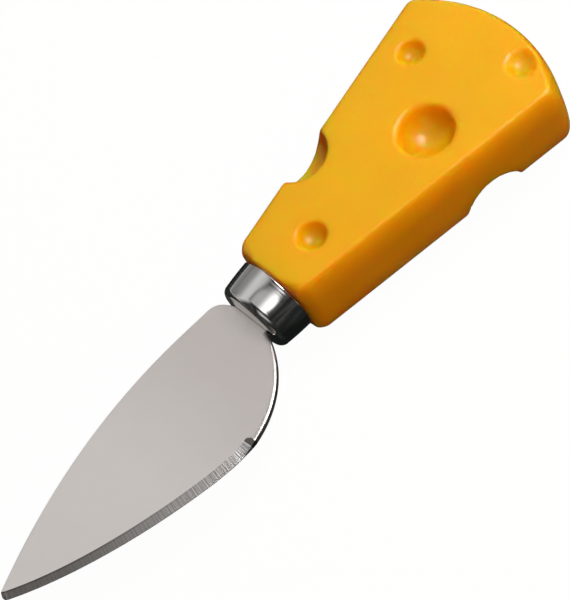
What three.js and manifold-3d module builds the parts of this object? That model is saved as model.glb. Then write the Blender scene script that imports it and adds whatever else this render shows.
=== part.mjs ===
// Cheese knife: a spade-shaped blade with a hidden tang, a drawn ferrule and a moulded handle
// shaped like a wedge of cheese with round holes.
// Millimetres, +Z up. The knife lies on the handle's underside. X runs from the tip to the handle's
// far end, +Y is the side of the blade's spine and -Y the side of its cutting edge.
import * as THREE from "three";
import { mergeVertices } from "three/addons/utils/BufferGeometryUtils.js";
import Module from "manifold-3d";

// Handle
const HANDLE_LENGTH = 58.8; // front face to the two far corners
const HANDLE_CROWN = 7.3; // how far the curved far end stands past those corners
const HANDLE_FRONT_WIDTH = 18.2;
const HANDLE_FAR_WIDTH = 39.5;
const HANDLE_THICKNESS = 16;
const EDGE_REACH = 1.9; // how far in from the sides the soft edge of a broad face starts
const EDGE_DROP = 6; // how far down the sides that edge ends
const FRONT_EDGE_RADIUS = 0.8; // small round between the broad faces and the front face
const FRONT_CORNER_RADIUS = FRONT_EDGE_RADIUS + 0.8; // an upright corner is never sharper than that round
const FAR_CORNER_RADIUS = EDGE_REACH + 3.5;
const REST_POINT = 27; // front face to the point of the underside that is the origin

// Cheese holes, each placed by its distance from the handle's front face and from its middle line
const LIP_RADIUS = 0.5; // rounding where a hole meets the face
const TOP_HOLES = [
  { x: 10.4, y: -1.9, mouth: 3.0, depth: 2.4 },
  { x: 38.8, y: -4.5, mouth: 5.6, depth: 4.8 },
  { x: 49.9, y: 9.8, mouth: 2.7, depth: 2.4 },
  { x: 59.7, y: -9.8, mouth: 2.8, depth: 1.9 },
];
const UNDERSIDE_HOLES = [
  { x: 13.0, y: 2.0, mouth: 3.2, depth: 2.4 },
  { x: 43.0, y: 5.0, mouth: 5.6, depth: 4.2 },
  { x: 55.0, y: -8.0, mouth: 2.9, depth: 2.0 },
];
const SPINE_SIDE_SCOOP = { x: 21.2, radius: 6.2, out: 0.3, sink: 0 }; // bites the top edge
const EDGE_SIDE_SCOOP = { x: 40.6, radius: 7.2, out: -0.6, sink: -2 }; // bites the bottom edge

// Ferrule, an oval cup drawn from thin sheet
const FERRULE_LENGTH = 7.4;
const FERRULE_WIDTH = 16.8; // at the handle
const FERRULE_HEIGHT = 15.4; // at the handle
const FERRULE_DRAFT = 0.75; // how much each side draws in towards the blade
const FERRULE_END_RADIUS = 1.5;
const FERRULE_WALL = 0.8;

// Blade, one stamping with its neck and tang
const BLADE_LENGTH = 67.7; // ferrule to tip
const BLADE_THICKNESS = 1.5;
const BLADE_EDGE_BREAK = 0.3; // edge rounded off all round the stamping
const SPINE_RISE = 8.1; // middle line to the spine at the shoulder
const SHOULDER_RUN = 3.8; // ferrule to the end of the rounded shoulder
const HEEL_DROP = 18.6; // middle line to the deepest point of the cutting edge
const HEEL_RUN = 20.9; // ferrule to that deepest point
const TIP_DROP = 1.75; // middle line to the tip
const TIP_RADIUS = 1;
const NECK_WIDTH = 8.6;
const NECK_OFFSET = 0.1; // the neck lies this far towards the spine
const BEVEL_WIDTH = 1.75;
const BEVEL_START = 16.6; // ferrule to the heel end of the ground bevel
const BEVEL_RUN_IN = 3.6; // length over which the bevel is ground down to the cutting edge
const BEVEL_RUN_OUT = 8; // length over which the bevel narrows to the tip
const CUTTING_LAND = 0.2; // thickness left along the cutting edge

// Pulls of the blade's curves in drawing order, as shares of each curve's run and of its rise or drop
const SHOULDER_PULLS = [{ run: 0.2, rise: 0.78 }, { run: 0.42, rise: 0.98 }];
const SPINE_PULLS = [{ run: 0.127, rise: 1.055 }, { run: 0.487, rise: 1.51 }];
const EDGE_PULLS = [{ run: 0.635, drop: 0.71 }, { run: 0.113, drop: 1 }];
const HEEL_PULLS = [{ run: 0.595, drop: 1 }, { run: 0.18, drop: 0.75 }];

// Tang, its holes and the adhesive that holds it in the handle
const TANG_LENGTH = 30; // past the handle's front face
const TANG_WIDTH = 6;
const TANG_CORNER_RADIUS = 1.2;
const TANG_HOLE_RADIUS = 1.5;
const TANG_HOLES = [9, 20]; // distances from the handle's front face
const ADHESIVE_LAYER = 0.9;
const SOCKET_END_ROOM = 1.2; // past the tang's end
const FIT_GAP = 0.3; // clearance between pieces that slip into each other

// Facets
const ARC_STEPS = 5;
const FILLET_STEPS = 4;
const EDGE_STEPS = 6;
const HOLE_SEGMENTS = 28;
const HOLE_STEPS = 7;
const SCOOP_SEGMENTS = 32;
const FERRULE_SEGMENTS = 56;
const BLADE_CURVE_STEPS = 18;

const MIDDLE = HANDLE_THICKNESS / 2; // height of the blade's and the ferrule's middle plane
const OVERRUN = 2; // how far a cutter stands out of what it cuts

const wasm = await Module();
wasm.setup();

// A closed three.js geometry as a solid that can be joined and cut
function solid(geometry) {
  geometry.deleteAttribute("normal");
  geometry.deleteAttribute("uv");
  const merged = mergeVertices(geometry);
  const corners = merged.index.array;
  const triangles = [];
  for (let i = 0; i < corners.length; i += 3) {
    const [a, b, c] = [corners[i], corners[i + 1], corners[i + 2]];
    if (a !== b && b !== c && c !== a) triangles.push(a, b, c);
  }
  const vertProperties = new Float32Array(merged.attributes.position.array);
  const triVerts = new Uint32Array(triangles);
  return new wasm.Manifold(new wasm.Mesh({ numProp: 3, vertProperties, triVerts }));
}

function mesh(name, body, material) {
  const { vertProperties, triVerts } = body.getMesh();
  const geometry = new THREE.BufferGeometry();
  geometry.setAttribute("position", new THREE.BufferAttribute(new Float32Array(vertProperties), 3));
  geometry.setIndex(new THREE.BufferAttribute(new Uint32Array(triVerts), 1));
  geometry.computeVertexNormals();
  const piece = new THREE.Mesh(geometry, material);
  piece.name = name;
  return piece;
}

function box(width, depth, height, x, y, z) {
  return solid(new THREE.BoxGeometry(width, depth, height).translate(x, y, z));
}

// A profile of (radius, distance) points turned about the X axis and pressed to an oval
function ovalTurning(profile, segments, heightOverWidth) {
  const turned = new THREE.LatheGeometry(profile, segments);
  turned.rotateZ(-Math.PI / 2);
  turned.scale(1, 1, heightOverWidth);
  turned.translate(0, 0, MIDDLE);
  return solid(turned);
}

function arcPoints(x, y, radius, from, to) {
  return new THREE.EllipseCurve(x, y, radius, radius, from, to).getPoints(2 * ARC_STEPS);
}

// The wedge seen from above: straight sides that open towards a curved far end, all corners rounded.
// Its sides and far end are drawn in by the inset, its front by the setback.
function wedgeOutline(inset, setback) {
  const frontHalf = HANDLE_FRONT_WIDTH / 2;
  const farHalf = HANDLE_FAR_WIDTH / 2;
  const opening = Math.atan2(farHalf - frontHalf, HANDLE_LENGTH);
  const endRadius = (farHalf ** 2 + HANDLE_CROWN ** 2) / (2 * HANDLE_CROWN);
  const endCentre = HANDLE_LENGTH + HANDLE_CROWN - endRadius;
  const sideAt = (run, depth) => new THREE.Vector2(
    run * Math.cos(opening) + depth * Math.sin(opening),
    frontHalf + run * Math.sin(opening) - depth * Math.cos(opening),
  );
  const frontRadius = FRONT_CORNER_RADIUS - setback;
  const frontDepth = inset + frontRadius;
  const frontRun = (FRONT_CORNER_RADIUS - frontDepth * Math.sin(opening)) / Math.cos(opening);
  const front = sideAt(frontRun, frontDepth);
  // The far corner's centre lies on the inset side line, where it touches the end arc from inside
  const start = sideAt(0, FAR_CORNER_RADIUS).sub(new THREE.Vector2(endCentre, 0));
  const half = start.x * Math.cos(opening) + start.y * Math.sin(opening);
  const reach = endRadius - FAR_CORNER_RADIUS;
  const farRun = -half + Math.sqrt(half ** 2 - start.lengthSq() + reach ** 2);
  const far = sideAt(farRun, FAR_CORNER_RADIUS);
  const turn = Math.atan2(far.y, far.x - endCentre);
  const square = Math.PI / 2 + opening;
  const farRadius = FAR_CORNER_RADIUS - inset;
  return [
    ...arcPoints(front.x, -front.y, frontRadius, -Math.PI, -square),
    ...arcPoints(far.x, -far.y, farRadius, -square, -turn),
    ...arcPoints(endCentre, 0, endRadius - inset, -turn, turn).slice(1, -1),
    ...arcPoints(far.x, far.y, farRadius, turn, square),
    ...arcPoints(front.x, front.y, frontRadius, square, Math.PI),
  ];
}

// The wedge in rings from its underside to its top, drawn in at both faces by the soft edge
function wedge() {
  const lower = [];
  const upper = [];
  for (let i = 0; i <= EDGE_STEPS; i += 1) {
    const angle = Math.PI / 2 * i / EDGE_STEPS;
    const height = EDGE_DROP * (1 - Math.cos(angle));
    const inset = EDGE_REACH * (1 - Math.sin(angle));
    const sunk = Math.max(FRONT_EDGE_RADIUS - height, 0);
    const setback = FRONT_EDGE_RADIUS - Math.sqrt(FRONT_EDGE_RADIUS ** 2 - sunk ** 2);
    const outline = wedgeOutline(inset, setback);
    lower.push(outline.map(({ x, y }) => new THREE.Vector3(x, y, height)));
    upper.unshift(outline.map(({ x, y }) => new THREE.Vector3(x, y, HANDLE_THICKNESS - height)));
  }
  return loft([...lower, ...upper]);
}

// A round hole sunk into a broad face: a spherical bowl with a rounded lip, cut from above
function holeCutter({ x, y, mouth, depth }) {
  const bowl = (mouth ** 2 + depth ** 2) / (2 * depth);
  const bowlCentre = bowl - depth;
  const lipCentre = Math.sqrt((bowl + LIP_RADIUS) ** 2 - (bowlCentre + LIP_RADIUS) ** 2);
  const slope = Math.atan2(lipCentre, bowlCentre + LIP_RADIUS);
  const profile = [];
  for (let i = 0; i <= HOLE_STEPS; i += 1) {
    const angle = slope * i / HOLE_STEPS;
    profile.push(new THREE.Vector2(bowl * Math.sin(angle), bowlCentre - bowl * Math.cos(angle)));
  }
  for (let i = 1; i <= FILLET_STEPS; i += 1) {
    const angle = slope * (1 - i / FILLET_STEPS);
    profile.push(new THREE.Vector2(
      lipCentre - LIP_RADIUS * Math.sin(angle),
      LIP_RADIUS * Math.cos(angle) - LIP_RADIUS,
    ));
  }
  profile.push(new THREE.Vector2(lipCentre, OVERRUN), new THREE.Vector2(0, OVERRUN));
  return new THREE.LatheGeometry(profile, HOLE_SEGMENTS).rotateX(Math.PI / 2).translate(x, y, 0);
}

function topHole(hole) {
  return solid(holeCutter(hole).translate(0, 0, HANDLE_THICKNESS));
}

function undersideHole(hole) {
  return solid(holeCutter({ ...hole, y: -hole.y }).rotateX(Math.PI));
}

// A ball centred near one of the handle's long edges, which bites a scoop out of two faces
function scoop({ x, radius, out, sink }, side, faceHeight) {
  const opening = (HANDLE_FAR_WIDTH - HANDLE_FRONT_WIDTH) / HANDLE_LENGTH;
  const half = (HANDLE_FRONT_WIDTH + x * opening) / 2;
  const ball = new THREE.SphereGeometry(radius, SCOOP_SEGMENTS, SCOOP_SEGMENTS / 2);
  return solid(ball.translate(x, side * (half + out), faceHeight + sink));
}

// Half-width of the drawn cup at a distance from the handle, before its wall is taken off
function cupHalfWidth(distance) {
  return FERRULE_WIDTH / 2 - FERRULE_DRAFT * distance / FERRULE_LENGTH;
}

// The cup's outer profile, or a skin further in, from the middle of its closed end to its rim
function cupProfile(inset, rim) {
  const end = FERRULE_LENGTH - inset;
  const radius = Math.max(FERRULE_END_RADIUS - inset, FERRULE_END_RADIUS / 3);
  const halfWidth = cupHalfWidth(end - radius) - inset;
  const profile = [new THREE.Vector2(0, -end)];
  for (let i = 0; i <= FILLET_STEPS; i += 1) {
    const angle = Math.PI / 2 * i / FILLET_STEPS;
    profile.push(new THREE.Vector2(
      halfWidth - radius * (1 - Math.sin(angle)),
      -end + radius * (1 - Math.cos(angle)),
    ));
  }
  profile.push(new THREE.Vector2(cupHalfWidth(-rim) - inset, rim));
  return profile;
}

const CUP_OVAL = FERRULE_HEIGHT / FERRULE_WIDTH;

function ferruleBody() {
  const profile = [...cupProfile(0, 0), ...cupProfile(FERRULE_WALL, 0).reverse()];
  const cup = ovalTurning(profile, FERRULE_SEGMENTS, CUP_OVAL);
  const slotDepth = 2 * (FERRULE_WALL + FIT_GAP);
  const slotWidth = NECK_WIDTH + 2 * FIT_GAP;
  const slotHeight = BLADE_THICKNESS + 2 * FIT_GAP;
  return cup.subtract(box(slotDepth, slotWidth, slotHeight, -FERRULE_LENGTH, NECK_OFFSET, MIDDLE));
}

// Spigot moulded on the handle's front, which fills the ferrule
function spigot() {
  const profile = cupProfile(FERRULE_WALL + FIT_GAP, OVERRUN);
  profile.push(new THREE.Vector2(0, OVERRUN));
  return ovalTurning(profile, FERRULE_SEGMENTS, CUP_OVAL);
}

const SPIGOT_END = -FERRULE_LENGTH + FERRULE_WALL + FIT_GAP;
const ADHESIVE_WIDTH = TANG_WIDTH + 2 * (FIT_GAP + ADHESIVE_LAYER);
const ADHESIVE_HEIGHT = BLADE_THICKNESS + 2 * (FIT_GAP + ADHESIVE_LAYER);
const ADHESIVE_END = TANG_LENGTH + SOCKET_END_ROOM;

// A box along the middle line between two distances from the handle's front face
function middleBox(from, to, width, height) {
  return box(to - from, width, height, (from + to) / 2, 0, MIDDLE);
}

function handleBody() {
  let body = wedge().add(spigot());
  for (const hole of TOP_HOLES) body = body.subtract(topHole(hole));
  for (const hole of UNDERSIDE_HOLES) body = body.subtract(undersideHole(hole));
  body = body.subtract(scoop(SPINE_SIDE_SCOOP, 1, HANDLE_THICKNESS));
  body = body.subtract(scoop(EDGE_SIDE_SCOOP, -1, 0));
  const socketWidth = ADHESIVE_WIDTH + 2 * FIT_GAP;
  const socketHeight = ADHESIVE_HEIGHT + 2 * FIT_GAP;
  return body.subtract(middleBox(SPIGOT_END - OVERRUN, ADHESIVE_END + FIT_GAP, socketWidth, socketHeight));
}

// A post or hole through the tang's thickness
function tangPin(x, radius, height) {
  const pin = new THREE.CylinderGeometry(radius, radius, height, HOLE_SEGMENTS).rotateX(Math.PI / 2);
  return solid(pin.translate(x, 0, MIDDLE));
}

// Cured adhesive round the tang, with a plug through each of the tang's holes
function adhesiveBody() {
  const tangWidth = TANG_WIDTH + 2 * FIT_GAP;
  const tangHeight = BLADE_THICKNESS + 2 * FIT_GAP;
  let sleeve = middleBox(SPIGOT_END, ADHESIVE_END, ADHESIVE_WIDTH, ADHESIVE_HEIGHT);
  sleeve = sleeve.subtract(middleBox(SPIGOT_END - OVERRUN, TANG_LENGTH + FIT_GAP, tangWidth, tangHeight));
  const plugRadius = TANG_HOLE_RADIUS - FIT_GAP;
  for (const x of TANG_HOLES) sleeve = sleeve.add(tangPin(x, plugRadius, tangHeight + FIT_GAP));
  return sleeve;
}

// A point of the blade seen from above, from its distance to the ferrule and to the middle line
function bladePoint(run, y) {
  return new THREE.Vector2(-FERRULE_LENGTH - run, y);
}

const TIP_CENTRE = bladePoint(BLADE_LENGTH - TIP_RADIUS, -TIP_DROP);

// Angle on the tip's round where the straight run from a curve's last pull touches it
function tipAngle(pull, side) {
  const away = pull.clone().sub(TIP_CENTRE);
  return away.angle() + side * Math.acos(TIP_RADIUS / away.length());
}

function onTip(angle) {
  return new THREE.Vector2(Math.cos(angle), Math.sin(angle)).multiplyScalar(TIP_RADIUS).add(TIP_CENTRE);
}

function curve(...points) {
  return new THREE.CubicBezierCurve(...points).getPoints(BLADE_CURVE_STEPS);
}

// The blade's back from neck to tip: shoulder and spine
function spineCurves() {
  const run = BLADE_LENGTH - SHOULDER_RUN;
  const neck = bladePoint(0, NECK_OFFSET + NECK_WIDTH / 2);
  const shoulderPulls = SHOULDER_PULLS.map((p) => bladePoint(p.run * SHOULDER_RUN, p.rise * SPINE_RISE));
  const shoulder = bladePoint(SHOULDER_RUN, SPINE_RISE);
  const spinePulls = SPINE_PULLS.map((p) => bladePoint(SHOULDER_RUN + p.run * run, p.rise * SPINE_RISE));
  const tip = tipAngle(spinePulls.at(-1), 1);
  const spine = curve(shoulder, ...spinePulls, onTip(tip));
  return { points: [...curve(neck, ...shoulderPulls, shoulder), ...spine.slice(1)], tip };
}

// The blade's cutting side from tip to neck: ground edge and rounded heel
function edgeCurves() {
  const run = BLADE_LENGTH - HEEL_RUN;
  const edgePulls = EDGE_PULLS.map((p) => bladePoint(HEEL_RUN + p.run * run, -p.drop * HEEL_DROP));
  const heel = bladePoint(HEEL_RUN, -HEEL_DROP);
  const heelPulls = HEEL_PULLS.map((p) => bladePoint(p.run * HEEL_RUN, -p.drop * HEEL_DROP));
  const neck = bladePoint(0, NECK_OFFSET - NECK_WIDTH / 2);
  const tip = tipAngle(edgePulls[0], -1);
  const edge = curve(onTip(tip), ...edgePulls, heel);
  return { points: [...edge, ...curve(heel, ...heelPulls, neck).slice(1)], tip };
}

// The tang's outline from neck to neck, round its far end
function tangSide() {
  const half = TANG_WIDTH / 2;
  const corner = TANG_LENGTH - TANG_CORNER_RADIUS;
  const side = new THREE.Path();
  side.moveTo(SPIGOT_END - FIT_GAP, NECK_OFFSET - NECK_WIDTH / 2);
  side.lineTo(SPIGOT_END, -half);
  side.lineTo(corner, -half);
  side.absarc(corner, TANG_CORNER_RADIUS - half, TANG_CORNER_RADIUS, -Math.PI / 2, 0, false);
  side.absarc(corner, half - TANG_CORNER_RADIUS, TANG_CORNER_RADIUS, 0, Math.PI / 2, false);
  side.lineTo(SPIGOT_END, half);
  side.lineTo(SPIGOT_END - FIT_GAP, NECK_OFFSET + NECK_WIDTH / 2);
  return side.getPoints(FILLET_STEPS);
}

// How deep the bevel is ground at a distance from the ferrule, from 0 to 1
function bevelDepth(run) {
  return THREE.MathUtils.smoothstep(run, BEVEL_START, BEVEL_START + BEVEL_RUN_IN);
}

// How far the bevel reaches in from the cutting edge, narrowing to the radius of the tip
function bevelReach(run) {
  const end = THREE.MathUtils.smoothstep(BLADE_LENGTH - run, 0, BEVEL_RUN_OUT);
  return Math.sqrt(bevelDepth(run)) * THREE.MathUtils.lerp(TIP_RADIUS, BEVEL_WIDTH, end);
}

// The stamping's outline, with the depth and the reach of the grind at each point
function bladeOutline() {
  const cutting = edgeCurves();
  const back = spineCurves();
  const ground = cutting.points.map((point) => {
    const run = -FERRULE_LENGTH - point.x;
    return { point, depth: bevelDepth(run), reach: bevelReach(run) };
  });
  const plain = [...tangSide(), ...back.points].map((point) => ({ point, depth: 0, reach: 0 }));
  const round = new THREE.Path().absarc(...TIP_CENTRE, TIP_RADIUS, back.tip, cutting.tip, false);
  const runOut = round.getPoints(FILLET_STEPS).slice(1, -1).map((point, i, points) => {
    const share = (i + 1) / (points.length + 1);
    return { point, depth: share, reach: share * TIP_RADIUS };
  });
  return [...ground, ...plain, ...runOut];
}

// The stamping in four rings: two flat faces drawn in by the grind or the edge break, and the side wall
function bladeRings() {
  const outline = bladeOutline();
  const halfFace = BLADE_THICKNESS / 2;
  const rings = [[], [], [], []];
  outline.forEach(({ point, depth, reach }, i) => {
    const after = outline[(i + 1) % outline.length].point;
    const along = after.clone().sub(outline.at(i - 1).point).normalize();
    const inset = Math.max(reach, BLADE_EDGE_BREAK);
    const halfWall = THREE.MathUtils.lerp(halfFace - BLADE_EDGE_BREAK, CUTTING_LAND / 2, depth);
    const x = point.x - inset * along.y;
    const y = point.y + inset * along.x;
    rings[0].push(new THREE.Vector3(x, y, MIDDLE - halfFace));
    rings[1].push(new THREE.Vector3(point.x, point.y, MIDDLE - halfWall));
    rings[2].push(new THREE.Vector3(point.x, point.y, MIDDLE + halfWall));
    rings[3].push(new THREE.Vector3(x, y, MIDDLE + halfFace));
  });
  return rings;
}

// A solid through rings with equal counts of points, lowest first, closed by flat ends
function loft(rings) {
  const count = rings[0].length;
  const faces = [];
  for (const [a, b, c] of THREE.ShapeUtils.triangulateShape(rings[0], [])) faces.push(c, b, a);
  for (let ring = 0; ring + 1 < rings.length; ring += 1) {
    for (let i = 0; i < count; i += 1) {
      const here = ring * count + i;
      const next = ring * count + (i + 1) % count;
      faces.push(here, next, next + count, here, next + count, here + count);
    }
  }
  const top = (rings.length - 1) * count;
  for (const [a, b, c] of THREE.ShapeUtils.triangulateShape(rings.at(-1), [])) {
    faces.push(top + a, top + b, top + c);
  }
  const geometry = new THREE.BufferGeometry().setFromPoints(rings.flat());
  geometry.setIndex(faces);
  return solid(geometry);
}

function bladeBody() {
  let body = loft(bladeRings());
  for (const x of TANG_HOLES) body = body.subtract(tangPin(x, TANG_HOLE_RADIUS, BLADE_THICKNESS + OVERRUN));
  return body;
}

const CHEESE = new THREE.MeshStandardMaterial({ color: 0xeeae24, roughness: 0.38, metalness: 0 });
const POLISHED = new THREE.MeshStandardMaterial({ color: 0xcfcfd0, roughness: 0.1, metalness: 1 });
const SATIN_STEEL = new THREE.MeshStandardMaterial({ color: 0xc5bfba, roughness: 0.35, metalness: 1 });
const EPOXY = new THREE.MeshStandardMaterial({ color: 0xc9b98c, roughness: 0.5, metalness: 0 });

const knife = new THREE.Group();
knife.position.x = -REST_POINT;
knife.add(mesh("handle", handleBody(), CHEESE));
knife.add(mesh("ferrule", ferruleBody(), POLISHED));
knife.add(mesh("blade", bladeBody(), SATIN_STEEL));
knife.add(mesh("tang_adhesive", adhesiveBody(), EPOXY));

export default knife;
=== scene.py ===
"""Cheese knife: a satin blade, a bright ferrule and a moulded handle shaped like a wedge of cheese."""
import math
from collections import namedtuple

import bpy
import mathutils
import numpy as np
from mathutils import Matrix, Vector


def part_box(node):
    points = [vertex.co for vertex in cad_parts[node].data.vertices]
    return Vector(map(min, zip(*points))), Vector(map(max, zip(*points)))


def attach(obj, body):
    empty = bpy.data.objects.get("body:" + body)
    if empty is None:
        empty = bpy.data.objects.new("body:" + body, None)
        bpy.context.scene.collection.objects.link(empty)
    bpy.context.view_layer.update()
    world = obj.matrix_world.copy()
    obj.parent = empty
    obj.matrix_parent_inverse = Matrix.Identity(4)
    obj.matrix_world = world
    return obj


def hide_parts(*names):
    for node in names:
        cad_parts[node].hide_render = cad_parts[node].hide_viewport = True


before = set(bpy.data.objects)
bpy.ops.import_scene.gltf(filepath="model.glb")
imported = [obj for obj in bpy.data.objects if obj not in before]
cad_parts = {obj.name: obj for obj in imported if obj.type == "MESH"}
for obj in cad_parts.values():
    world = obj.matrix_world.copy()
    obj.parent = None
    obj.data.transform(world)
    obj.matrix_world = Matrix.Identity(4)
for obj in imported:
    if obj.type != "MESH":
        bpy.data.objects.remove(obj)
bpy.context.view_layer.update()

# Shapes are worked out in millimetres, from the handle's front face and the knife's middle plane
MM = 0.001
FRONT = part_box("ferrule")[1].x
MIDDLE = (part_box("blade")[0].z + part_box("blade")[1].z) / 2

# Handle
HANDLE_LENGTH = 58.8
HANDLE_CROWN = 7.3
HALF_FRONT = 9.1
HALF_FAR = 19.75
HALF_THICKNESS = 8.0
EDGE_REACH = 1.9
EDGE_DROP = 6.0
FRONT_EDGE_RADIUS = 0.8
FRONT_CORNER_RADIUS = 2.4
FAR_CORNER_RADIUS = 3.0
SCOOP_LIP_RADIUS = 0.5
SPIGOT_END = -6.3
SOCKET_END = 31.5
SOCKET_HALF_WIDTH = 4.5
SOCKET_HALF_HEIGHT = 2.25
FIT_GAP = 0.3
# Each hole: distance from the front face, from the middle line, mouth radius, depth, radius of its lip
Hole = namedtuple("Hole", "x y mouth depth lip")
TOP_HOLES = (
    Hole(10.4, -1.9, 2.9, 2.8, 0.7),
    Hole(39.0, -4.4, 5.4, 5.2, 1.1),
    Hole(49.9, 9.8, 2.6, 2.5, 0.7),
    Hole(59.9, -9.7, 2.9, 1.9, 0.7),
)
UNDERSIDE_HOLES = (
    Hole(13.0, 2.0, 3.1, 2.4, 0.7),
    Hole(43.0, 5.0, 5.4, 4.2, 1.1),
    Hole(55.0, -8.0, 2.8, 2.0, 0.7),
)
# Each scoop: distance from the front face, radius, and how far its centre is out of the side and up
Scoop = namedtuple("Scoop", "x radius out height")
SPINE_SIDE_SCOOP = Scoop(21.2, 6.2, 0.3, HALF_THICKNESS)
EDGE_SIDE_SCOOP = Scoop(40.9, 6.2, -1.1, -HALF_THICKNESS - 0.2)

# Ferrule
FERRULE_LENGTH = 7.4
FERRULE_HALF_WIDTH = 8.4
FERRULE_HALF_HEIGHT = 7.7
FERRULE_DRAFT = 0.75
FERRULE_BARREL = 0.12
FERRULE_END_RADIUS = 1.6
FERRULE_WALL = 0.8
RIM_RADIUS = 0.5
SLOT_HALF_WIDTH = 4.6
SLOT_HALF_HEIGHT = 1.05
SLOT_OFFSET = 0.1
SLOT_EDGE_RADIUS = 0.15

# Blade
BLADE_LENGTH = 67.7
HALF_BLADE = 0.75
SPINE_RISE = 8.1
SHOULDER_RUN = 3.8
HEEL_DROP = 18.6
HEEL_RUN = 20.9
TIP_DROP = 1.75
TIP_RADIUS = 1.0
HALF_NECK = 4.3
NECK_OFFSET = 0.1
TANG_LENGTH = 30.0
HALF_TANG = 3.0
TANG_CORNER_RADIUS = 1.2
TANG_HOLES = (9.0, 20.0)
TANG_HOLE_RADIUS = 1.5
CUT_EDGE = 0.12
ROLL_REACH = 1.0
ROLL_DROP = 0.35
ROLL_START = 2.0
ROLL_FULL = 14.0
BEVEL_WIDTH = 1.75
TIP_BEVEL_WIDTH = 1.4
BEVEL_WIDENING = 45.0
BEVEL_START = 16.7
BEVEL_RUN_IN = 3.8
BEVEL_SCOOP = 0.9
HALF_LAND = 0.08
# Shares of the grind's full depth at which an edge has the grind's shape and its look
SHAPED_DEPTH = 0.1
MARKED_DEPTH = 0.03
# Runs along the grind over which its painted dark shade at the heel and its painted highlight lines fade,
# and over which its painted reflection dims
PLUNGE_SHADE_FADE = (1.6, 1.3)
GLINT_LINE_FADE = (7.5, 3.5)
REFLECTION_DIMMING = (5.0, 45.0)
# Distances from the tip between which the blade's face turns lighter, a painted brightening of its
# reflection
PALE_FACE = (62.0, 30.0)
# Pulls of the blade's curves in drawing order, as shares of each curve's run and of its rise or drop
SHOULDER_PULLS = ((0.2, 0.78), (0.42, 0.98))
SPINE_PULLS = ((0.127, 1.055), (0.487, 1.51))
EDGE_PULLS = ((0.635, 0.71), (0.113, 1.0))
HEEL_PULLS = ((0.595, 1.0), (0.18, 0.75))

# Fineness of the meshes, and the angles in degrees past which an edge stays crisp
NET_STEP = 0.45
NET_MARGIN = 1.0
SETTLE_ROUNDS = 3
RELAX_ROUNDS = 4
RESETTLE_ROUNDS = 2
LEAST_SLOPE = 0.1
TINY = 1e-9
FERRULE_POINTS = 160
FERRULE_FRONT_SHARES = (0.05, 0.3, 0.6, 0.95)
ROUND_STEPS = 8
EDGE_STEPS = 150
HEEL_STEPS = 90
SHOULDER_STEPS = 30
SPINE_STEPS = 120
TIP_STEPS = 16
TIP_GRIND_STEPS = 4
PROFILE_RINGS = 11
TANG_HOLE_POINTS = 40
SUPPORT_INSET = 0.03
FERRULE_CREASE = 40.0
BLADE_CREASE = 15.0

# Camera, from the photograph's view: degrees, millimetres and a lens for a 36 mm tall sensor
VIEW_AZIMUTH = -16.296
VIEW_ELEVATION = 56.607
VIEW_ROLL = -33.286
VIEW_DISTANCE = 457.75
VIEW_AIM = (-27.6, -2.222, 8.0)
VIEW_LENS = 149.41
SENSOR_HEIGHT = 36.0

# Studio
LAMP_DISTANCE = 500.0
GLOW_HEIGHT = 400.0
FLOOR_REACH = 2000.0
FLOOR_HEIGHT = -0.1
DARK_CARD_HEIGHT = -0.05
DARK_CARD_FAR_END = 250.0


# Meshes

def make_piece(name, points, faces, finish, node):
    """A smooth mesh from points in millimetres, with its own finish, in place of a CAD node that it hides.
    """
    placed = np.asarray(points) * MM + (FRONT, 0, MIDDLE)
    mesh = bpy.data.meshes.new(name)
    mesh.from_pydata(placed.tolist(), [], [list(map(int, face)) for face in faces])
    mesh.validate()
    mesh.shade_smooth()
    mesh.materials.append(finish)
    piece = bpy.data.objects.new(name, mesh)
    bpy.context.scene.collection.objects.link(piece)
    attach(piece, "root")
    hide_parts(node)
    return piece


def mark_points(piece, name, values):
    """Stores a value on each point of a mesh, for its material."""
    piece.data.attributes.new(name, "FLOAT", "POINT").data.foreach_set("value", values)


def smooth_step(value, start, end):
    share = np.clip((value - start) / (end - start), 0, 1)
    return share * share * (3 - 2 * share)


def gradient(distance, points, step=0.01):
    """How a distance function changes along each axis."""
    slopes = [distance(points + step * axis) - distance(points - step * axis) for axis in np.eye(3)]
    return np.stack(slopes, axis=1) / (2 * step)


def settle(distance, points, rounds):
    """Moves points along the slope of a distance function until they lie on its surface."""
    for _ in range(rounds):
        slope = gradient(distance, points)
        steepness = np.maximum((slope ** 2).sum(axis=1), LEAST_SLOPE)
        points = points - slope * (distance(points) / steepness)[:, None]
    return points


def relax(points, quads):
    """Each point moved to the mean of its neighbours."""
    starts = quads.ravel()
    ends = np.roll(quads, -1, axis=1).ravel()
    total = np.zeros_like(points)
    np.add.at(total, starts, points[ends])
    return total / np.bincount(starts, minlength=len(points))[:, None]


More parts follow.
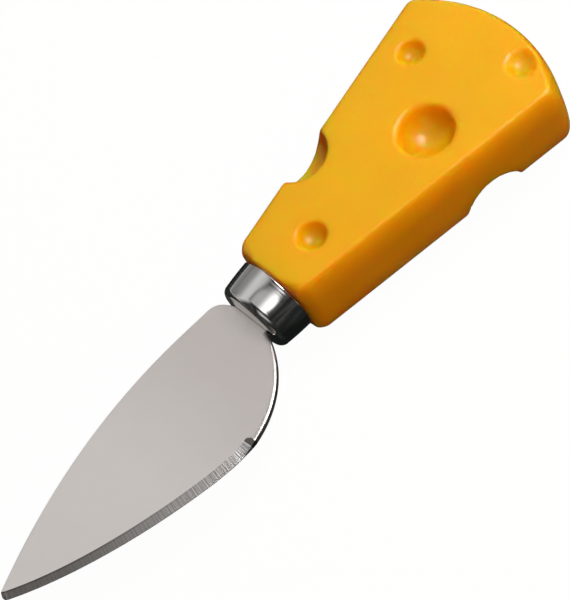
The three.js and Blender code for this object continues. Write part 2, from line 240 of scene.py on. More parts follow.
def net_surface(distance, low, high, step):
    """A net of even quads over the surface where a distance function is zero."""
    axes = [np.arange(start, end + step, step) for start, end in zip(low, high)]
    grid = np.stack(np.meshgrid(*axes, indexing="ij"), axis=-1)
    inside = distance(grid.reshape(-1, 3)).reshape(grid.shape[:3]) < 0
    ends = (slice(None, -1), slice(1, None))
    corners = [inside[i, j, k] for i in ends for j in ends for k in ends]
    filled = np.sum(corners, axis=0)
    mixed = (filled > 0) & (filled < 8)
    cell = np.full(mixed.shape, -1)
    cell[mixed] = np.arange(mixed.sum())
    points = grid[:-1, :-1, :-1][mixed] + step / 2
    quads = []
    for axis in range(3):
        order = (axis, (axis + 1) % 3, (axis + 2) % 3)
        solid = inside.transpose(order)
        number = cell.transpose(order)
        i, j, k = np.nonzero(solid[:-1, 1:-1, 1:-1] != solid[1:, 1:-1, 1:-1])
        j, k = j + 1, k + 1
        ring = [number[i, j - 1, k - 1], number[i, j, k - 1], number[i, j, k], number[i, j - 1, k]]
        quad = np.stack(ring, axis=1)
        facing_back = ~solid[i, j, k]
        quad[facing_back] = quad[facing_back, ::-1]
        quads.append(quad)
    quads = np.concatenate(quads)
    points = settle(distance, points, SETTLE_ROUNDS)
    for _ in range(RELAX_ROUNDS):
        points = settle(distance, relax(points, quads), RESETTLE_ROUNDS)
    return points, quads


def loft(rings, closed):
    """Quads between rings of equal counts of points, the last ring joined to the first if closed."""
    count = len(rings[0])
    pairs = len(rings) if closed else len(rings) - 1
    faces = []
    for ring in range(pairs):
        here = ring * count
        there = (ring + 1) % len(rings) * count
        for i in range(count):
            after = (i + 1) % count
            faces.append((here + i, here + after, there + after, there + i))
    return np.concatenate(rings), faces


# Handle

def side_distance(x, y):
    """Distance to the wedge's two sides and curved far end seen from above, negative inside."""
    y = np.abs(y)
    opening = math.atan2(HALF_FAR - HALF_FRONT, HANDLE_LENGTH)
    along = np.array((math.cos(opening), math.sin(opening)))
    out = np.array((-along[1], along[0]))
    end_radius = (HALF_FAR ** 2 + HANDLE_CROWN ** 2) / (2 * HANDLE_CROWN)
    end_centre = HANDLE_LENGTH + HANDLE_CROWN - end_radius
    side = x * out[0] + (y - HALF_FRONT) * out[1]
    end = np.hypot(np.maximum(x - end_centre, 0), y) - end_radius

    # The far corner's centre lies on the inset side line, where it touches the end arc from inside
    start = np.array((-end_centre, HALF_FRONT)) - FAR_CORNER_RADIUS * out
    middle = start @ along
    reach = end_radius - FAR_CORNER_RADIUS
    far = start + (math.sqrt(middle ** 2 - start @ start + reach ** 2) - middle) * along
    dx, dy = x - end_centre - far[0], y - far[1]
    between = (far[0] * dy - far[1] * dx > 0) & (dx * out[1] - dy * out[0] > 0)
    return np.where(between, np.hypot(dx, dy) - FAR_CORNER_RADIUS, np.maximum(side, end))


def rounded_meet(first, second, radius):
    """Distance to what two distances share, with the edge between them rounded off."""
    corner = np.hypot(np.maximum(first + radius, 0), np.maximum(second + radius, 0))
    return np.minimum(np.maximum(first, second), -radius) + corner


def soft_edge(side, face):
    """Distance to what a side and a face share, with the edge between them a quarter of an oval."""
    out = np.maximum(side + EDGE_REACH, TINY) / EDGE_REACH
    up = np.maximum(face + EDGE_DROP, TINY) / EDGE_DROP
    length = np.hypot(out, up)
    rounded = (length - 1) * length / np.hypot(out / EDGE_REACH, up / EDGE_DROP)
    return np.where((side > -EDGE_REACH) & (face > -EDGE_DROP), rounded, np.maximum(side, face))


def ball_distance(points, centre, radius):
    return np.linalg.norm(points - np.array(centre), axis=1) - radius


def bowl_distance(points, hole, face):
    """Distance to the ball that sinks a hole into the top face (1) or the underside (-1)."""
    radius = (hole.mouth ** 2 + hole.depth ** 2) / (2 * hole.depth)
    height = face * (HALF_THICKNESS + radius - hole.depth)
    return ball_distance(points, (hole.x, hole.y, height), radius)


def scoop_distance(points, scoop, side):
    """Distance to the ball that sinks a scoop into the spine side (1) or the edge side (-1)."""
    half = HALF_FRONT + scoop.x * (HALF_FAR - HALF_FRONT) / HANDLE_LENGTH
    return ball_distance(points, (scoop.x, side * (half + scoop.out), scoop.height), scoop.radius)


def spigot_distance(points):
    """Distance to the oval stub that fills the ferrule."""
    x, y, z = points.T
    inset = FERRULE_WALL + FIT_GAP
    half_width = FERRULE_HALF_WIDTH - inset + np.minimum(x, 0) * FERRULE_DRAFT / FERRULE_LENGTH
    oval = FERRULE_HALF_HEIGHT / FERRULE_HALF_WIDTH
    return rounded_meet(np.hypot(y, z / oval) - half_width, np.abs(x) + SPIGOT_END, RIM_RADIUS)


def socket_distance(points):
    """Distance to the slot that the tang and its adhesive fill."""
    x, y, z = points.T
    across = np.maximum(np.abs(y) - SOCKET_HALF_WIDTH, np.abs(z) - SOCKET_HALF_HEIGHT)
    return np.maximum(x - SOCKET_END, across)


def wedge_distance(points):
    """Distance to the wedge before its holes and scoops."""
    x, y, z = points.T
    side = side_distance(x, y)
    face = np.abs(z) - HALF_THICKNESS
    nearness = smooth_step(side, -3 * EDGE_REACH, -EDGE_REACH)
    front_radius = FRONT_EDGE_RADIUS + (FRONT_CORNER_RADIUS - FRONT_EDGE_RADIUS) * nearness
    return rounded_meet(soft_edge(side, face), -x, front_radius)


def handle_distance(points):
    body = wedge_distance(points)
    for face, holes in ((1, TOP_HOLES), (-1, UNDERSIDE_HOLES)):
        for hole in holes:
            body = rounded_meet(body, -bowl_distance(points, hole, face), hole.lip)
    for side, scoop in ((1, SPINE_SIDE_SCOOP), (-1, EDGE_SIDE_SCOOP)):
        body = rounded_meet(body, -scoop_distance(points, scoop, side), SCOOP_LIP_RADIUS)
    body = np.minimum(body, spigot_distance(points))
    return np.maximum(body, -socket_distance(points))


def make_handle(finish):
    low = np.array((SPIGOT_END, -HALF_FAR, -HALF_THICKNESS)) - NET_MARGIN
    high = np.array((HANDLE_LENGTH + HANDLE_CROWN, HALF_FAR, HALF_THICKNESS)) + NET_MARGIN
    points, quads = net_surface(handle_distance, low, high, NET_STEP)
    handle = make_piece("cheese_handle", points, quads, finish, "handle")
    # Depth inside the plain wedge, for the shade painted into the holes and scoops
    mark_points(handle, "hollow", np.maximum(-wedge_distance(points), 0))


# Ferrule

RAYS = np.linspace(0, 2 * math.pi, FERRULE_POINTS, endpoint=False)


def oval_ring(x, half_width):
    oval = FERRULE_HALF_HEIGHT / FERRULE_HALF_WIDTH
    y = half_width * np.cos(RAYS)
    z = half_width * oval * np.sin(RAYS)
    return np.stack((np.full(FERRULE_POINTS, x), y, z), axis=1)


def slot_ring(x, grow):
    """A ring round the slot, whose points lie on the same rays as those of an oval ring."""
    ray = np.stack((np.cos(RAYS), np.sin(RAYS)), axis=1)
    half = np.array((SLOT_HALF_WIDTH, SLOT_HALF_HEIGHT)) + grow
    reach = np.min(half / np.maximum(np.abs(ray), TINY), axis=1)
    y = SLOT_OFFSET + ray[:, 0] * reach
    z = ray[:, 1] * reach
    return np.stack((np.full(FERRULE_POINTS, x), y, z), axis=1)


def cup_side(distance, inset):
    """Half-width of the drawn cup at a distance from its rim: drafted, and slightly barrelled."""
    share = distance / FERRULE_LENGTH
    return FERRULE_HALF_WIDTH - FERRULE_DRAFT * share - inset + FERRULE_BARREL * 4 * share * (1 - share)


def make_ferrule(finish):
    quarter = np.linspace(0, math.pi / 2, ROUND_STEPS + 1)
    end_start = FERRULE_LENGTH - FERRULE_END_RADIUS
    end_width = cup_side(end_start, 0)
    rings = []
    for angle in quarter[::-1]:
        x = -RIM_RADIUS * (1 - math.sin(angle))
        rings.append(oval_ring(x, cup_side(0, 0) - RIM_RADIUS * (1 - math.cos(angle))))
    for distance in np.linspace(RIM_RADIUS, end_start, 2 * ROUND_STEPS)[1:]:
        rings.append(oval_ring(-distance, cup_side(distance, 0)))
    for angle in quarter[1:]:
        x = -end_start - FERRULE_END_RADIUS * math.sin(angle)
        rings.append(oval_ring(x, end_width - FERRULE_END_RADIUS * (1 - math.cos(angle))))
    flat = oval_ring(-FERRULE_LENGTH, end_width - FERRULE_END_RADIUS)
    lip = slot_ring(-FERRULE_LENGTH, SLOT_EDGE_RADIUS)
    for share in FERRULE_FRONT_SHARES:
        rings.append(flat + (lip - flat) * share)
    for angle in quarter[::2]:
        x = -FERRULE_LENGTH + SLOT_EDGE_RADIUS * (1 - math.cos(angle))
        rings.append(slot_ring(x, SLOT_EDGE_RADIUS * (1 - math.sin(angle))))
    inner_end = -FERRULE_LENGTH + FERRULE_WALL
    rings.append(slot_ring(inner_end, 0))
    inner_width = cup_side(FERRULE_LENGTH, FERRULE_WALL)
    rings.append(oval_ring(inner_end, inner_width - FERRULE_WALL))
    rings.append(oval_ring(inner_end + FERRULE_WALL, inner_width))
    rings.append(oval_ring(-RIM_RADIUS, cup_side(0, FERRULE_WALL)))
    rings.append(oval_ring(0, cup_side(0, FERRULE_WALL - RIM_RADIUS)))
    points, faces = loft(rings, closed=True)
    ferrule = make_piece("oval_ferrule", points, faces, finish, "ferrule")
    ferrule.data.set_sharp_from_angle(angle=math.radians(FERRULE_CREASE))


# Blade

def bezier(points, steps):
    t = np.linspace(0, 1, steps + 1)[:, None]
    a, b, c, d = (np.array(point) for point in points)
    return (1 - t) ** 3 * a + 3 * (1 - t) ** 2 * t * b + 3 * (1 - t) * t ** 2 * c + t ** 3 * d


def blade_point(run, y):
    return np.array((-FERRULE_LENGTH - run, y))


def pulled(start, length, height, pulls):
    """The pulls of one of the blade's curves, which starts after a run and has a length and a height."""
    return [blade_point(start + run * length, share * height) for run, share in pulls]


def arc(centre, radius, start, end, steps):
    angle = np.linspace(start, end, steps + 1)
    return np.array(centre) + radius * np.stack((np.cos(angle), np.sin(angle)), axis=1)


TIP_CENTRE = blade_point(BLADE_LENGTH - TIP_RADIUS, -TIP_DROP)


def tip_angle(pull, side):
    """Angle on the tip's round where the straight run from a curve's last pull touches it."""
    away = pull - TIP_CENTRE
    return math.atan2(away[1], away[0]) + side * math.acos(TIP_RADIUS / np.hypot(*away))


def on_tip(angle):
    return TIP_CENTRE + TIP_RADIUS * np.array((math.cos(angle), math.sin(angle)))


def blade_outline():
    """The stamping's outline, how deep the grind is at each point, and where the tip's round starts."""
    edge_run = BLADE_LENGTH - HEEL_RUN
    spine_run = BLADE_LENGTH - SHOULDER_RUN
    edge_pulls = pulled(HEEL_RUN, edge_run, -HEEL_DROP, EDGE_PULLS)
    heel_pulls = pulled(0, HEEL_RUN, -HEEL_DROP, HEEL_PULLS)
    shoulder_pulls = pulled(0, SHOULDER_RUN, SPINE_RISE, SHOULDER_PULLS)
    spine_pulls = pulled(SHOULDER_RUN, spine_run, SPINE_RISE, SPINE_PULLS)
    heel = blade_point(HEEL_RUN, -HEEL_DROP)
    shoulder = blade_point(SHOULDER_RUN, SPINE_RISE)
    low_neck = blade_point(0, NECK_OFFSET - HALF_NECK)
    high_neck = blade_point(0, NECK_OFFSET + HALF_NECK)
    edge_end = tip_angle(edge_pulls[0], -1) + 2 * math.pi
    spine_end = tip_angle(spine_pulls[1], 1)

    cutting = np.concatenate((
        bezier((on_tip(edge_end), *edge_pulls, heel), EDGE_STEPS),
        bezier((heel, *heel_pulls, low_neck), HEEL_STEPS)[1:],
    ))
    corner = TANG_LENGTH - TANG_CORNER_RADIUS
    shoulder_end = SPIGOT_END - FIT_GAP
    tang = np.concatenate((
        [(shoulder_end, low_neck[1]), (SPIGOT_END, -HALF_TANG)],
        arc((corner, TANG_CORNER_RADIUS - HALF_TANG), TANG_CORNER_RADIUS, -math.pi / 2, 0, ROUND_STEPS),
        arc((corner, HALF_TANG - TANG_CORNER_RADIUS), TANG_CORNER_RADIUS, 0, math.pi / 2, ROUND_STEPS),
        [(SPIGOT_END, HALF_TANG), (shoulder_end, high_neck[1])],
    ))
    back = np.concatenate((
        bezier((high_neck, *shoulder_pulls, shoulder), SHOULDER_STEPS),
        bezier((shoulder, *spine_pulls, on_tip(spine_end)), SPINE_STEPS)[1:],
    ))
    tip = arc(TIP_CENTRE, TIP_RADIUS, spine_end, edge_end, TIP_STEPS)[1:-1]
    outline = np.concatenate((cutting, tang, back, tip))
    depth = np.zeros(len(outline))
    run = -FERRULE_LENGTH - cutting[:, 0]
    depth[:len(cutting)] = np.clip((run - BEVEL_START) / BEVEL_RUN_IN, 0, 1)
    depth[len(outline) - len(tip):] = np.clip(np.arange(1, len(tip) + 1) / TIP_GRIND_STEPS, 0, 1)
    return outline, depth, len(tip)


def edge_profile(depth, width, reach, drop):
    """How far in and how high each ring lies, from the flat face to the wall, of a round or ground edge."""
    tilt = np.linspace(0, math.pi / 2, PROFILE_RINGS)
    plain_in = reach[:, None] * (1 - np.sin(tilt))
    plain_up = HALF_BLADE - drop[:, None] * (1 - np.cos(tilt))
    share = np.linspace(0, 1, PROFILE_RINGS)
    start = np.clip(1 - depth * BEVEL_RUN_IN / BEVEL_SCOOP, 0, 1)
    ground_in = (width * np.sqrt(1 - start ** 2))[:, None] * (1 - share)
    ground_up = HALF_BLADE + (HALF_LAND - HALF_BLADE) * share
    blend = smooth_step(depth, 0, SHAPED_DEPTH)[:, None]
    inset = plain_in + (ground_in - plain_in) * blend
    up = plain_up + (HALF_BLADE + (ground_up - HALF_BLADE) * depth[:, None] - plain_up) * blend
    return inset.T, up.T


def inward_of(ring):
    """Level directions that point from a ring's points into it."""
    along = np.roll(ring, -1, axis=0) - np.roll(ring, 1, axis=0)
    along /= np.linalg.norm(along, axis=1)[:, None]
    return np.stack((-along[:, 1], along[:, 0]), axis=1)


def blade_rings(roll_reach, roll_drop):
    """Half of the blade's thickness as rings, from the flat face out to the wall, and the grind's depth."""
    outline, depth, tip_count = blade_outline()
    inward = inward_of(outline)
    rolled = (outline[:, 0] < -FERRULE_LENGTH) * smooth_step(outline[:, 1], HALF_NECK, -HALF_NECK)
    from_tip = np.hypot(*(outline - TIP_CENTRE).T)
    rolled = rolled * smooth_step(from_tip, ROLL_START, ROLL_FULL)
    reach = CUT_EDGE + (roll_reach - CUT_EDGE) * rolled
    drop = CUT_EDGE + (roll_drop - CUT_EDGE) * rolled
    widening = smooth_step(from_tip, TIP_RADIUS, BEVEL_WIDENING)
    width = TIP_BEVEL_WIDTH + (BEVEL_WIDTH - TIP_BEVEL_WIDTH) * widening
    inset, up = edge_profile(depth, width, reach, drop)
    tip = np.arange(len(outline) - tip_count, len(outline))
    share = (np.arange(1, tip_count + 1) / (tip_count + 1))[:, None]
    rings = []
    for ring_in, ring_up in zip(inset, up):
        flat = outline + inward * ring_in[:, None]
        # Round the tip the grind runs straight on, so its rings are chords between their own ends
        chord = flat[tip[0] - 1] * (1 - share) + flat[0] * share
        pull = ring_in[0] / width[0]
        flat[tip] = outline[tip] * (1 - pull) + chord * pull
        rings.append(np.column_stack((flat, ring_up)))
    support = rings[0].copy()
    support[:, :2] += SUPPORT_INSET * inward_of(rings[0][:, :2])
    return [support, *rings], depth


def mark_grind(blade, outline, depth, half):
    """Marks each point of the bevel with its place along the grind, across it, and how ground it is."""
    count = len(outline)
    steps = np.hypot(*(np.roll(outline, -1, axis=0) - outline)[:, :2].T)
    run = np.concatenate(([0], np.cumsum(steps)[:-1]))
    start = run[np.argmax((depth == 0) & (run > 0))]
    along = np.where(run > start, start + steps.sum() - run, start - run)
    total = len(blade.data.vertices)
    marks = {"grind_run": np.zeros(total), "grind_share": np.zeros(total), "ground": np.zeros(total)}
    for ring in range(2 * half):
        span = slice(ring * count, (ring + 1) * count)
        step = min(ring, 2 * half - 1 - ring)
        marks["grind_run"][span] = along
        marks["grind_share"][span] = max(step - 1, 0) / (half - 2)
        marks["ground"][span] = smooth_step(depth, 0, MARKED_DEPTH) if step > 0 else 0
    for name, values in marks.items():
        mark_points(blade, name, values)


def make_blade(finish):
    upper, depth = blade_rings(ROLL_REACH, ROLL_DROP)
    lower, _ = blade_rings(CUT_EDGE, CUT_EDGE)
    rings = [ring * (1, 1, -1) for ring in lower] + upper[::-1]
    points, faces = loft(rings, closed=False)
    count = len(upper[0])
    lower_loops = [range(count)]
    upper_loops = [range((len(rings) - 1) * count, len(rings) * count)]
    for x in TANG_HOLES:
        hole = arc((x, 0), TANG_HOLE_RADIUS, 0, 2 * math.pi, TANG_HOLE_POINTS)[:-1]
        flat = np.full(TANG_HOLE_POINTS, HALF_BLADE)
        low = range(len(points), len(points) + TANG_HOLE_POINTS)
        high = range(low.stop, low.stop + TANG_HOLE_POINTS)
        lower_loops.append(low)
        upper_loops.append(high)
        points = np.concatenate((points, np.column_stack((hole, -flat)), np.column_stack((hole, flat))))
        for i in range(TANG_HOLE_POINTS):
            after = (i + 1) % TANG_HOLE_POINTS
            faces.append((low[after], low[i], high[i], high[after]))
    for side, loops in ((-1, lower_loops), (1, upper_loops)):
        index = [corner for loop in loops for corner in loop]
        outlines = [[mathutils.Vector(points[corner]) for corner in loop] for loop in loops]
        for triangle in mathutils.geometry.tessellate_polygon(outlines):
            a, b, c = (index[corner] for corner in triangle)
            turn = np.cross(points[b, :2] - points[a, :2], points[c, :2] - points[a, :2])
            faces.append((a, b, c) if turn * side > 0 else (a, c, b))
    blade = make_piece("ground_blade", points, faces, finish, "blade")
    blade.data.set_sharp_from_angle(angle=math.radians(BLADE_CREASE))
    mark_grind(blade, upper[-1], depth, len(upper))


# Materials

class Socket:
    """A shader socket in Python expressions: each operator adds the Math node that it stands for."""

    def __init__(self, nodes, socket):
        self.nodes = nodes
        self.socket = socket

    def math(self, operation, first, second):
        return self.nodes.node("ShaderNodeMath", {"operation": operation}, {0: first, 1: second})

    def __add__(self, other):
        return self.math("ADD", self, other)

    def __radd__(self, other):
        return self.math("ADD", other, self)

    def __sub__(self, other):
        return self.math("SUBTRACT", self, other)

    def __rsub__(self, other):
        return self.math("SUBTRACT", other, self)

    def __mul__(self, other):
        return self.math("MULTIPLY", self, other)

    def __rmul__(self, other):
        return self.math("MULTIPLY", other, self)

    def __truediv__(self, other):
        return self.math("DIVIDE", self, other)

    def __rtruediv__(self, other):
        return self.math("DIVIDE", other, self)


class Nodes:
    """The nodes of a material or of the world."""

    def __init__(self, tree):
        self.tree = tree

    def node(self, kind, settings=None, inputs=None, output=0):
        """Adds a node: its settings first, then the values or links of its sockets."""
        node = self.tree.nodes.new(kind)
        for name, value in (settings or {}).items():
            setattr(node, name, value)
        for name, value in (inputs or {}).items():
            self.feed(node.inputs[name], value)
        return Socket(self, node.outputs[output])

    def feed(self, socket, value):
        if isinstance(value, Socket):
            self.tree.links.new(value.socket, socket)
        else:
            socket.default_value = value

    def ramp(self, value, low, high, out_low=0.0, out_high=1.0):
        """A value carried smoothly from one range to another."""
        settings = {"interpolation_type": "SMOOTHSTEP"}
        inputs = {"Value": value, "From Min": low, "From Max": high, "To Min": out_low, "To Max": out_high}
        return self.node("ShaderNodeMapRange", settings, inputs)

    def mix(self, factor, first, second):
        """A colour between two colours."""
        return self.node("ShaderNodeMix", {"data_type": "RGBA"}, {0: factor, 6: first, 7: second}, output=2)

    def axis(self, vector, name):
        """One of a vector's three values."""
        return self.node("ShaderNodeSeparateXYZ", None, {0: vector}, output=name)


class Finish(Nodes):
    """A material and its nodes, with the constants of its main shader set on the shader's own sockets."""

    def __init__(self, name, **constants):
        self.material = bpy.data.materials.new(name)
        self.material.use_nodes = True
        super().__init__(self.material.node_tree)
        self.shader = self.tree.nodes["Principled BSDF"]
        for socket, value in constants.items():
            self.shader.inputs[socket.replace("_", " ")].default_value = value

    def set(self, socket, value):
        self.feed(self.shader.inputs[socket], value)

    def place(self):
        """Where the surface is, in the knife's own frame, in metres."""
        return self.node("ShaderNodeTexCoord", output="Object")

    def mark(self, name):
        """A value that is stored on the mesh's points."""
        return self.node("ShaderNodeAttribute", {"attribute_name": name}, output="Fac")

    def stretched(self, vector, scale):
        return self.node("ShaderNodeVectorMath", {"operation": "MULTIPLY"}, {0: vector, 1: scale})

    def noise(self, vector, scale, detail=3.0, roughness=0.55):
        inputs = {"Vector": vector, "Scale": scale, "Detail": detail, "Roughness": roughness}
        return self.node("ShaderNodeTexNoise", None, inputs)

    def bump(self, height, strength, distance):
        inputs = {"Height": height, "Strength": strength, "Distance": distance}
        self.set("Normal", self.node("ShaderNodeBump", None, inputs))


def colour(red, green, blue):
    """A linear colour from the 0 to 255 values that it shows on screen."""
    def linear(value):
        share = value / 255
        return share / 12.92 if share <= 0.04045 else ((share + 0.055) / 1.055) ** 2.4
    return (linear(red), linear(green), linear(blue), 1.0)


def grey(level):
    return (level, level, level, 1.0)


def cheese_plastic():
    """Satin moulded plastic, slightly clouded and slightly see-through at thin edges, with shade painted
    into its holes and scoops as a darker orange.
    """
    finish = Finish(
        "cheese_plastic", Subsurface_Weight=1.0, Subsurface_Radius=(1.0, 0.04, 0.015),
        Subsurface_Scale=0.006, IOR=1.46, Specular_IOR_Level=0.4,
    )
    place = finish.place()
    cloud = finish.noise(place, 60.0)
    speck = finish.noise(place, 900.0, detail=2.0)
    yellow = finish.mix(finish.ramp(cloud, 0.3, 0.7), colour(230, 183, 6), colour(234, 188, 9))
    # Painted shade: the colour turns a darker orange with depth inside the holes and scoops
    hollow_shade = finish.mix(finish.ramp(finish.mark("hollow"), 0.3, 2.5), yellow, colour(225, 169, 2))
    specked = finish.mix(finish.ramp(speck, 0.55, 0.8, 0.0, 0.25), hollow_shade, colour(230, 170, 2))
    finish.set("Base Color", specked)
    finish.set("Roughness", finish.ramp(finish.noise(place, 140.0), 0.3, 0.7, 0.28, 0.36))
    finish.bump(finish.noise(place, 1500.0, detail=2.0) + finish.noise(place, 260.0) * 2.0, 0.08, 0.0003)
    return finish.material


def bright_chrome():
    """Polished plating with faint smears and hairlines."""
    finish = Finish("bright_chrome", Metallic=1.0)
    place = finish.place()
    smear = finish.noise(finish.stretched(place, (90.0, 260.0, 260.0)), 1.0)
    finish.set("Base Color", finish.mix(smear, colour(186, 185, 183), colour(200, 199, 197)))
    finish.set("Roughness", finish.ramp(smear, 0.35, 0.75, 0.12, 0.17))
    hairline = finish.noise(finish.stretched(place, (4000.0, 300.0, 300.0)), 1.0, detail=2.0)
    finish.bump(hairline, 0.03, 0.0001)
    return finish.material


def blade_steel():
    """Satin rolled steel, with a bevel left coarse by the grinding wheel's cross lines, and light and shade
    painted on: a lighter face towards the tip, bright and dark patches on the bevel, and its dimming along
    the edge.
    """
    finish = Finish("blade_steel", Metallic=1.0)
    place = finish.place()
    ground = finish.mark("ground")
    run = finish.mark("grind_run")
    across = finish.mark("grind_share")
    grain = finish.noise(finish.stretched(place, (350.0, 6000.0, 350.0)), 1.0, detail=2.0)
    cloud = finish.noise(place, 50.0)
    plain_end, pale_start = (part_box("blade")[0].x + distance * MM for distance in PALE_FACE)
    # Painted reflection: the face is painted lighter towards the tip, with a faint random cloud in its tone
    paling_and_cloud = finish.ramp(finish.axis(place, "X"), plain_end, pale_start, 0.0, 0.85) + cloud * 0.3
    satin = finish.mix(paling_and_cloud, colour(197, 190, 186), colour(216, 210, 206))

    # At the heel the grind's start is painted dark as shade and the lines after it are painted bright as
    # highlights; towards the tip the bevel is painted dimmer, a painted change in its reflection, and its
    # inner edge carries a painted shade line
    settings = {"noise_dimensions": "1D"}
    line = finish.node("ShaderNodeTexNoise", settings, {"W": run, "Scale": 3.6, "Detail": 3.0})
    fleck = finish.noise(place, 4000.0, detail=2.0)
    painted_dimming = finish.ramp(run, *REFLECTION_DIMMING)
    mean = finish.mix(painted_dimming, colour(218, 214, 211), colour(180, 175, 172))
    bright = finish.ramp(run, *GLINT_LINE_FADE)
    glint_lined = finish.mix(bright, mean, colour(240, 238, 236))
    scratch = finish.ramp(line * 0.9 + fleck * 0.1, 0.38, 0.6)
    scored = finish.mix(scratch * (0.7 + bright * 0.1 - painted_dimming * 0.35), glint_lined, colour(118, 114, 112))
    plunge_shade = finish.ramp(run, *PLUNGE_SHADE_FADE)
    # Painted shade: a dark line along the bevel's inner edge
    inner_shade_line = finish.ramp(across, 0.28, 0.05)
    dark = plunge_shade + inner_shade_line * painted_dimming * 0.7
    finish.set("Base Color", finish.mix(ground, satin, finish.mix(dark, scored, colour(104, 100, 97))))
    finish.set("Roughness", finish.ramp(grain, 0.3, 0.7, 0.3, 0.38) + ground * 0.06)
    finish.bump(grain * (1 - ground) * 0.3 + line * ground * 0.5, 0.12, 0.0001)
    return finish.material


def cured_epoxy():
    """Cloudy set adhesive, with small bubbles."""
    finish = Finish("cured_epoxy", IOR=1.5)
    place = finish.place()
    cells = finish.node("ShaderNodeTexVoronoi", None, {"Vector": place, "Scale": 700.0})
    bubble = finish.ramp(cells, 0.1, 0.3)
    cloudy = finish.mix(finish.noise(place, 200.0), colour(190, 172, 120), colour(214, 200, 152))
    finish.set("Base Color", cloudy)
    finish.set("Roughness", 0.35 + bubble * 0.2)
    finish.bump(bubble, 0.3, 0.0002)
    return finish.material


# Studio

def add_camera():
    """A camera that looks at the knife as the photograph does; azimuth 0 stands on the -Y side."""
    camera = bpy.data.cameras.new("camera")
    camera.sensor_fit = "VERTICAL"
    camera.sensor_height = SENSOR_HEIGHT
    camera.lens = VIEW_LENS
    camera.clip_start = 0.01
    viewer = bpy.data.objects.new("camera", camera)
    turn = (
        mathutils.Matrix.Rotation(math.radians(VIEW_AZIMUTH), 4, "Z")
        @ mathutils.Matrix.Rotation(math.radians(90 - VIEW_ELEVATION), 4, "X")
        @ mathutils.Matrix.Rotation(math.radians(VIEW_ROLL), 4, "Z")
    )
    back = mathutils.Matrix.Translation((0, 0, VIEW_DISTANCE * MM))
    viewer.matrix_world = mathutils.Matrix.Translation(mathutils.Vector(VIEW_AIM) * MM) @ turn @ back
    bpy.context.scene.collection.objects.link(viewer)
    bpy.context.scene.camera = viewer


def add_softbox(name, direction, width, height, brightness, tint=(1, 1, 1)):
    """A soft rectangular lamp over the knife, unseen in its gloss, with a face of the given brightness."""
    lamp = bpy.data.lights.new(name, "AREA")
    lamp.shape = "RECTANGLE"
    lamp.color = tint
    lamp.size = width * MM
    lamp.size_y = height * MM
    lamp.energy = brightness * math.pi * lamp.size * lamp.size_y
    back = mathutils.Vector(direction).normalized()
    across = mathutils.Vector((1, 0, 0)).cross(back).cross(back).normalized() * -1
    turn = mathutils.Matrix((across, back.cross(across), back)).transposed().to_4x4()
    holder = bpy.data.objects.new(name, lamp)
    holder.matrix_world = mathutils.Matrix.Translation(back * LAMP_DISTANCE * MM) @ turn
    holder.visible_glossy = False
    bpy.context.scene.collection.objects.link(holder)


def flat_panel(name, low, high, height):
    """A level panel between two corners, as part of the stage."""
    corners = [low, (high[0], low[1]), high, (low[0], high[1])]
    mesh = bpy.data.meshes.new(name)
    mesh.from_pydata([(x * MM, y * MM, height * MM) for x, y in corners], [], [range(len(corners))])
    panel = bpy.data.objects.new(name, mesh)
    bpy.context.scene.collection.objects.link(panel)
    return panel


def add_floor():
    """A pale floor that is white to the camera and in metal, with a little of the knife's shadow on it."""
    floor = flat_panel("floor", (-FLOOR_REACH, -FLOOR_REACH), (FLOOR_REACH, FLOOR_REACH), FLOOR_HEIGHT)
    finish = Finish("pale_floor", Roughness=0.9, Specular_IOR_Level=0.0)
    seen_by = {name: finish.node("ShaderNodeLightPath", output="Is " + name + " Ray")
               for name in ("Camera", "Glossy", "Transmission", "Diffuse")}
    finish.set("Base Color", finish.mix(seen_by["Diffuse"], colour(250, 250, 250), colour(40, 26, 16)))
    white = finish.node("ShaderNodeEmission", None, {"Color": grey(1), "Strength": 1.0})
    share = (seen_by["Camera"] + seen_by["Glossy"] + seen_by["Transmission"]) * 0.975
    shade = Socket(finish, finish.shader.outputs[0])
    mixed = finish.node("ShaderNodeMixShader", None, {0: share, 1: shade, 2: white})
    finish.feed(finish.tree.nodes["Material Output"].inputs["Surface"], mixed)
    floor.data.materials.append(finish.material)


def only_in_gloss(card):
    card.visible_camera = False
    card.visible_shadow = False
    card.visible_diffuse = False


def add_dark_card():
    """A dark card under the knife that only its bright metal and gloss see, for their dark sides."""
    low, high = (-FLOOR_REACH, -FLOOR_REACH), (FLOOR_REACH, DARK_CARD_FAR_END)
    card = flat_panel("dark_card", low, high, DARK_CARD_HEIGHT)
    only_in_gloss(card)
    finish = Finish("dark_card", Base_Color=grey(0), Specular_IOR_Level=0.0, Emission_Strength=1.0)
    smudge = finish.ramp(finish.noise(finish.place(), 45.0), 0.4, 0.65)
    finish.set("Emission Color", finish.mix(smudge, (0.012, 0.014, 0.013, 1), (0.05, 0.056, 0.053, 1)))
    card.data.materials.append(finish.material)


def add_glow_card(name, centre, half_size, near, far, edge, core):
    """A round card overhead that only metal and gloss see: how bright its near side, far side and edge
    are, and the share of it over which its core is even."""
    (x, y), (width, depth) = centre, half_size
    card = flat_panel(name, (x - width, y - depth), (x + width, y + depth), GLOW_HEIGHT)
    only_in_gloss(card)
    finish = Finish(name, Base_Color=grey(0), Specular_IOR_Level=0.0, Emission_Strength=1.0)
    place = finish.place()
    across = finish.axis(place, "X") / (width * MM) - x / width
    along = finish.axis(place, "Y") / (depth * MM) - y / depth
    round_share = across * across + along * along
    lit = finish.mix(finish.ramp(along, -0.4, 0.3), grey(near), grey(far))
    finish.set("Alpha", finish.ramp(round_share, 1.0, 0.85))
    finish.set("Emission Color", finish.mix(finish.ramp(round_share, core, 0.85), lit, grey(edge)))
    card.data.materials.append(finish.material)


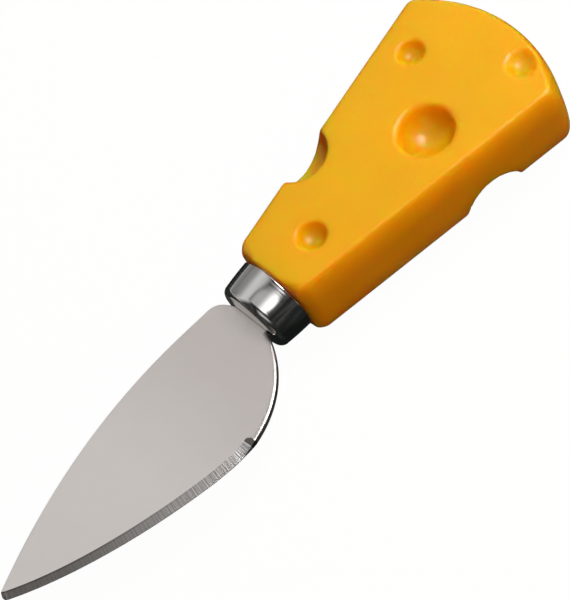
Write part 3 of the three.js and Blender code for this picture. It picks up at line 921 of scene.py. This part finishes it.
def add_world():
    """Surroundings: a dim warm sky, and in metal and gloss a pale wall, two windows and dim clutter."""
    world = bpy.data.worlds.new("studio")
    bpy.context.scene.world = world
    world.use_nodes = True
    nodes = Nodes(world.node_tree)
    direction = nodes.node("ShaderNodeTexCoord", output="Generated")
    x, y, z = (nodes.axis(direction, name) for name in "XYZ")
    in_gloss = nodes.node("ShaderNodeLightPath", output="Is Glossy Ray")
    sky = nodes.ramp(z, 0.0, 0.8) * 0.1
    clutter = nodes.node("ShaderNodeTexNoise", None, {"Vector": direction, "Scale": 5.0, "Detail": 3.0})
    wall = nodes.ramp(y - x * x * 0.6, 0.0, 0.5) * nodes.ramp(y, 0.55, 0.9, 0.96, 0.25)
    windows = nodes.ramp(x * x, 0.1, 0.3) * nodes.ramp(y, -0.1, -0.4) * nodes.ramp(z + x * 0.5, 0.0, 0.2)
    seen = wall + windows * 0.8 + nodes.ramp(clutter, 0.4, 0.75, 0.02, 0.16)
    background = world.node_tree.nodes["Background"]
    nodes.feed(background.inputs["Color"], nodes.mix(in_gloss, (1.0, 0.45, 0.15, 1.0), grey(1)))
    nodes.feed(background.inputs["Strength"], sky * (1 - in_gloss) + seen * in_gloss)


make_handle(cheese_plastic())
make_ferrule(bright_chrome())
make_blade(blade_steel())
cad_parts["tang_adhesive"].material_slots[0].material = cured_epoxy()

add_camera()
add_floor()
add_world()
add_dark_card()
add_glow_card("ferrule_glow", (-54, -125), (48, 280), near=3.0, far=0.75, edge=0.2, core=0.45)
add_glow_card("hole_glow", (240, -115), (145, 165), near=24.0, far=24.0, edge=0.5, core=0.0)
add_glow_card("heel_glow", (400, 20), (160, 260), near=1.6, far=1.6, edge=0.8, core=0.45)
add_softbox("key_softbox", (0.46, 0.0, 0.885), 220, 300, brightness=10.7)
add_softbox("warm_fill", (0.0, -0.88, 0.475), 400, 200, brightness=5.05, tint=(1.0, 0.5, 0.05))
add_softbox("back_fill", (-0.3, 0.85, 0.42), 400, 200, brightness=1.5, tint=(1.0, 0.5, 0.2))

bpy.context.scene.view_settings.view_transform = "Standard"
